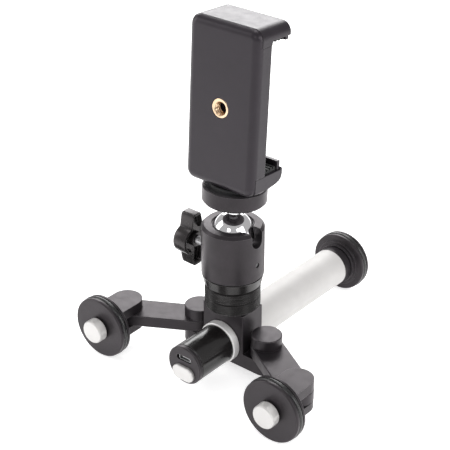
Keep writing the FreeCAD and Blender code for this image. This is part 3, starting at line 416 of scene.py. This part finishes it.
def add_drive_wheel():
    """The driven wheel, with a stepped hub towards the tube and a shallow recess in its face."""
    centre = middle("drive_tyre")
    bore, hub_back, step_back = 2.02, -5.7, -4.6
    hub, step, recess, floor = 12, 14, 9, 2.6
    add_wheel("drive_wheel_turned", [
        (bore, hub_back), (hub, hub_back), (hub, step_back), (step, step_back), (step, -HALF)]
        + RIM + [(recess, HALF), (recess - 0.6, floor), (bore, floor)],
        0.2, centre, BACK, "drive", "drive_wheel")
    add_tyre("drive_tyre_ring", centre, BACK, "drive", "drive_tyre")


for side in ("left", "right"):
    add_front_wheel(side)
add_drive_wheel()


# ---------------------------------------------------------------- ball head, in millimetres

BALL_HEIGHT = 82.6
BALL_RADIUS = 11.4
LEAN = Vector(next(joint["axis"] for joint in frame["joints"] if joint["name"] == "clamp_yaw"))

RING_LOW, RING_HIGH = 38.25, 44.8           # lock ring
BASE_LOW, BASE_HIGH = 44.95, 58.4           # pan base above it
GRIP = 15.3                                 # radius of both knurled walls
GRIP_STEPS = 432

HUB, HUB_OFFSET = 7.8, 3.0                  # knob: an oval of two circles, one on either side
WING_TIP, WING_ROOT, WING_TAPER = 15.9, 6.2, 0.2
BLEND = 18                                  # power that rounds the corners between outlines
KNOB_DEPTH, KNOB_CROWN = 9.1, 1.5


def at_height(height):
    """A point on the ball head's axis, height in millimetres above the floor."""
    return Vector((HEAD.x, HEAD.y, height * MM))


def grip(low, high):
    """Rows of a ring's knurled wall."""
    return knurled_band(GRIP, low, high, 72, 1.2, 0.55, 0.14)


def add_rings():
    """The knurled lock ring and the knurled, tapered pan base."""
    rows = [(3.22, RING_LOW), (14.6, RING_LOW), (15.0, RING_LOW + 0.35)]
    rows += grip(RING_LOW + 0.75, RING_HIGH - 0.6)
    rows += [(15.0, RING_HIGH - 0.3), (14.6, RING_HIGH), (3.22, RING_HIGH)]
    piece("lock_ring_knurled", revolve(rows, GRIP_STEPS), at_height(0), UP, materials["ring_black"],
          "head_lock_ring", "lock_ring", 30)
    rows = [(0, 50.2), (3.2, 50.2), (3.2, BASE_LOW), (14.5, BASE_LOW), (14.95, BASE_LOW + 0.35)]
    rows += grip(BASE_LOW + 0.75, 50.8)
    rows += [(15.0, 51.05), (14.5, 51.4), (14.3, 51.6), (14.3, 52.2), (15.0, 52.3), (15.5, 52.5),
             (15.7, 52.7), (16.8, 57.8), (16.88, 58.05), (16.75, 58.3), (16.5, BASE_HIGH),
             (9, BASE_HIGH), (9, 64), (0, 64)]
    piece("pan_base_knurled", revolve(rows, GRIP_STEPS), at_height(0), UP, materials["ring_black"],
          "chassis", "pan_base", 30)


def add_ball():
    """Polished ball and its waisted stem, leaning as the clamp on it does."""
    rows = [(0, -BALL_RADIUS)]
    rows += [(BALL_RADIUS * math.sin(a), -BALL_RADIUS * math.cos(a))
             for a in (math.radians(3 * k) for k in range(1, 55))]
    foot = math.sqrt(BALL_RADIUS ** 2 - rows[-1][0] ** 2)
    rows += [(3.05, foot + 0.35), (3.0, foot + 1.0), (3.0, 14.4), (3.3, 15.5), (5.0, 18.2), (0, 18.2)]
    piece("ball_polished", revolve(rows, 128), at_height(BALL_HEIGHT), LEAN, materials["chrome"],
          "ball", "chrome_ball", 30)


def knob_radius(angle):
    """Distance from the knob's axis to its outline: an oval hub and two tapered wings."""
    along, across = abs(math.cos(angle)), abs(math.sin(angle))
    if HUB * along <= HUB_OFFSET * across:
        hub = HUB / across
    else:
        hub = HUB_OFFSET * along + math.sqrt(HUB ** 2 - (HUB_OFFSET * across) ** 2)
    flank = WING_ROOT / (along + WING_TAPER * across)
    tip = WING_TIP / max(across, 0.1)
    wing = (flank ** -BLEND + tip ** -BLEND) ** (-1 / BLEND)
    return (hub ** BLEND + wing ** BLEND) ** (1 / BLEND)


def outline(inset):
    """The knob's outline moved inwards, as a radius function."""
    return lambda angle, height: knob_radius(angle) - inset


def add_knob():
    """Winged knob, hollow on the side that faces the head, and its threaded stud."""
    rows = [(4.1, 0), (4.1, 0.2), (4.2, 3.0), (outline(2.6), 3.0), (outline(1.5), 0.25), (outline(1.3), 0),
            (outline(0.4), 0), (outline(0.1), 0.12), (outline(0.0), 0.4)]
    crown_steps = 7
    for i in range(crown_steps + 1):
        turn = math.radians(90 * i / crown_steps)
        rows.append((outline(KNOB_CROWN * (1 - math.cos(turn))),
                     KNOB_DEPTH - KNOB_CROWN + KNOB_CROWN * math.sin(turn)))
    dimple = KNOB_DEPTH - 0.4
    rows += [(5.6, KNOB_DEPTH), (5.2, dimple), (0, dimple), (0, 0)]
    inner_face = low_high("clamp_knob")[1].x
    centre = Vector((inner_face, HEAD.y, middle("knob_stud").z))
    piece("clamp_knob_winged", revolve(rows, 480), centre, LEFT, materials["black_plastic"], "knob",
          "clamp_knob", 40)
    rows = [(0, 0), (2.2, 0)] + threaded(2.5, 0.35, 0.8, 0.3, 12.7) + [(2.0, 13.0), (0, 13.0)]
    piece("knob_stud_threaded", revolve(rows, 48), centre, RIGHT, materials["steel"], "knob",
          "knob_stud", 50)


add_rings()
add_ball()
add_knob()


# ---------------------------------------------------------------- phone clamp

def add_insert():
    """Brass insert with a countersunk mouth and a real quarter-inch thread."""
    mount = next(item for item in frame["record"]["mounts"] if item["name"] == "front_camera_thread")
    axis = Vector(mount["axis"])
    mouth, thread_pitch = 4.7, 1.27
    centre = Vector(mount["pos_m"]) - axis * mouth * MM
    rows = [(3.6, 0), (4.48, 0), (4.48, 3.9), (5.25, 3.9), (5.25, 4.4), (5.0, mouth), (4.5, 4.75),
            (3.9, 4.6)]
    rows += list(reversed(threaded(3.65, 0.5, thread_pitch, 0.2, 4.1)))
    piece("front_insert_threaded", revolve(rows, 96), centre, axis, materials["brass"], "phone_clamp",
          "front_insert", 32)


add_insert()


# ---------------------------------------------------------------- stage, light, camera

FLOOR_REACH = 6.0
LIGHT_TARGET = (0, 0, 0.08)
LIGHTS = (              # name, place and size in metres, power in watts
    ("softbox_back", (-0.68, 0.82, 0.62), (1.1, 0.6), 11),
    ("softbox_above", (-0.15, 0.1, 1.0), (0.5, 0.5), 3),
    ("front_left", (0.205, -0.91, 0.66), (0.28, 0.28), 1.2),
    ("front_right", (0.88, -0.31, 0.66), (0.28, 0.28), 1.2),
    ("softbox_left", (-0.8, -0.5, 0.45), (0.5, 0.7), 3),
    ("softbox_right", (0.9, 0.1, 0.4), (0.4, 0.7), 3),
)
WORLD_COLOUR = (1, 0.985, 0.99)
WORLD_STRENGTH = 0.5
CAMERA_AZIMUTH, CAMERA_ELEVATION = math.radians(39.71), math.radians(28.99)
CAMERA_DISTANCE = 0.7
CAMERA_LENS = 105.2
CAMERA_TARGET = (HEAD.x - 0.00545, HEAD.y, 0.08452)


def add_floor():
    """White paper, a little self-lit so that it stays white behind the dolly."""
    mesh = bpy.data.meshes.new("floor")
    corners = [(x * FLOOR_REACH, y * FLOOR_REACH, 0) for x, y in ((-1, -1), (1, -1), (1, 1), (-1, 1))]
    mesh.from_pydata(corners, [], [(0, 1, 2, 3)])
    floor = bpy.data.objects.new("floor", mesh)
    bpy.context.collection.objects.link(floor)
    paper = finish_of("floor_paper", (0.90, 0.90, 0.90), (0.92, 0.92, 0.92), 0.0, (0.7, 0.8), 600,
                      edge=0, relief=0.02, Emission_Color=(1, 1, 1, 1), Emission_Strength=0.6)
    mesh.materials.append(paper)


def add_light(name, place, size, power):
    data = bpy.data.lights.new(name, "AREA")
    data.shape = "RECTANGLE"
    data.size, data.size_y = size
    data.energy = power
    light = bpy.data.objects.new(name, data)
    away = Vector(place) - Vector(LIGHT_TARGET)
    light.matrix_world = Matrix.Translation(place) @ away.to_track_quat("Z", "Y").to_matrix().to_4x4()
    bpy.context.collection.objects.link(light)


def add_world():
    world = bpy.data.worlds.new("studio")
    world.use_nodes = True
    background = world.node_tree.nodes["Background"]
    background.inputs["Color"].default_value = (*WORLD_COLOUR, 1)
    background.inputs["Strength"].default_value = WORLD_STRENGTH
    bpy.context.scene.world = world


def add_camera():
    flat = math.cos(CAMERA_ELEVATION)
    away = Vector((flat * math.sin(CAMERA_AZIMUTH), -flat * math.cos(CAMERA_AZIMUTH),
                   math.sin(CAMERA_ELEVATION)))
    data = bpy.data.cameras.new("camera")
    data.lens = CAMERA_LENS
    data.sensor_width = 36
    data.clip_start = 0.01
    camera = bpy.data.objects.new("camera", data)
    camera.matrix_world = Matrix.Translation(Vector(CAMERA_TARGET) + away * CAMERA_DISTANCE) @ (
        away.to_track_quat("Z", "Y").to_matrix().to_4x4())
    bpy.context.collection.objects.link(camera)
    bpy.context.scene.camera = camera


add_floor()
for settings in LIGHTS:
    add_light(*settings)
add_world()
add_camera()
bpy.context.scene.view_settings.view_transform = "Standard"
